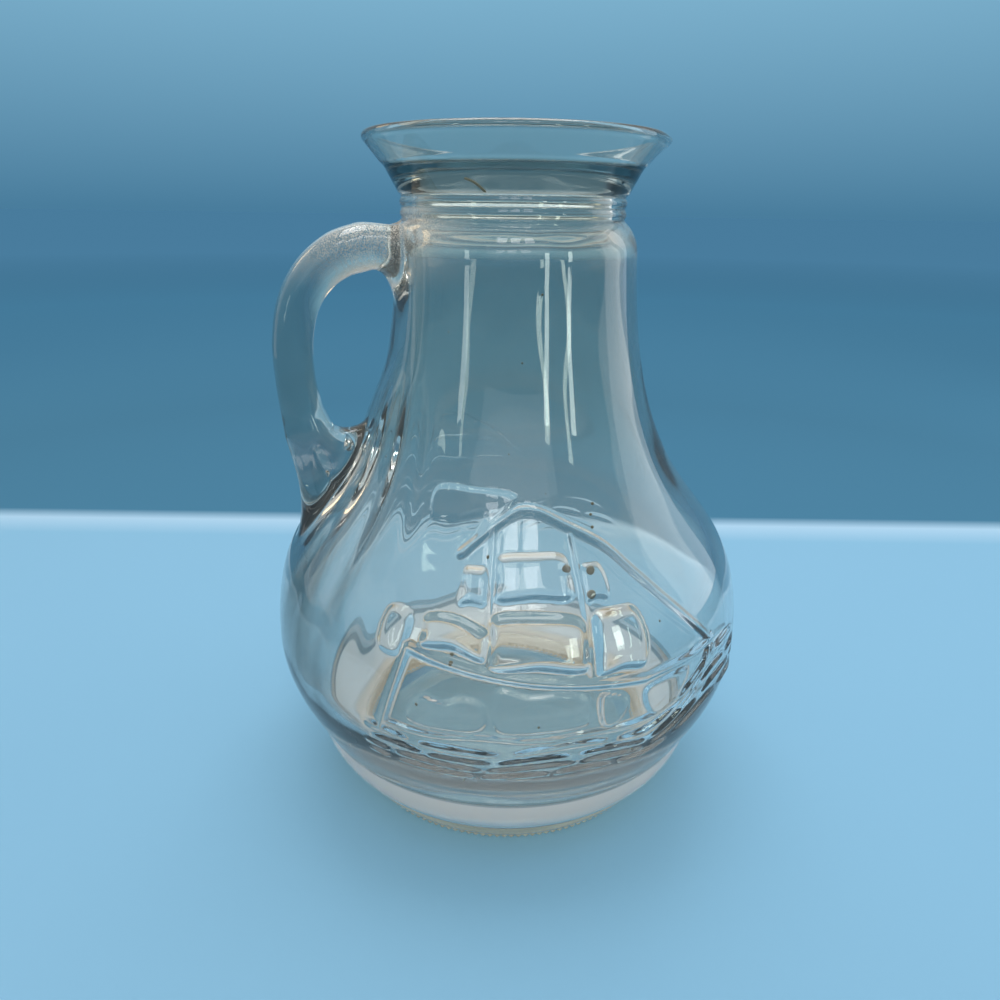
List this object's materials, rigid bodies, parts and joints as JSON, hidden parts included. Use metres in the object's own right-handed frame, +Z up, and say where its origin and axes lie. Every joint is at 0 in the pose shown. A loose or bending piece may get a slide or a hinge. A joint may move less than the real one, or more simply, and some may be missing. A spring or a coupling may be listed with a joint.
{
  "type": "glass pitcher",
  "caption": "Clear pressed-glass pitcher with a pear-shaped body, flared mouth with a pouring lip and a loop handle, for serving drinks.",
  "frame": {"origin": "middle of the foot, on the surface that the pitcher stands on", "axes": "+Z up along the body's axis, +X towards the pouring lip, handle along -X"},
  "size_m": [0.16, 0.16, 0.212],
  "materials": {
    "glass": "clear soda-lime glass, smooth, with a faint grey-green tint"
  },
  "bodies": {
    "root": {"pitcher_glass": "glass"}
  },
  "joints": []
}
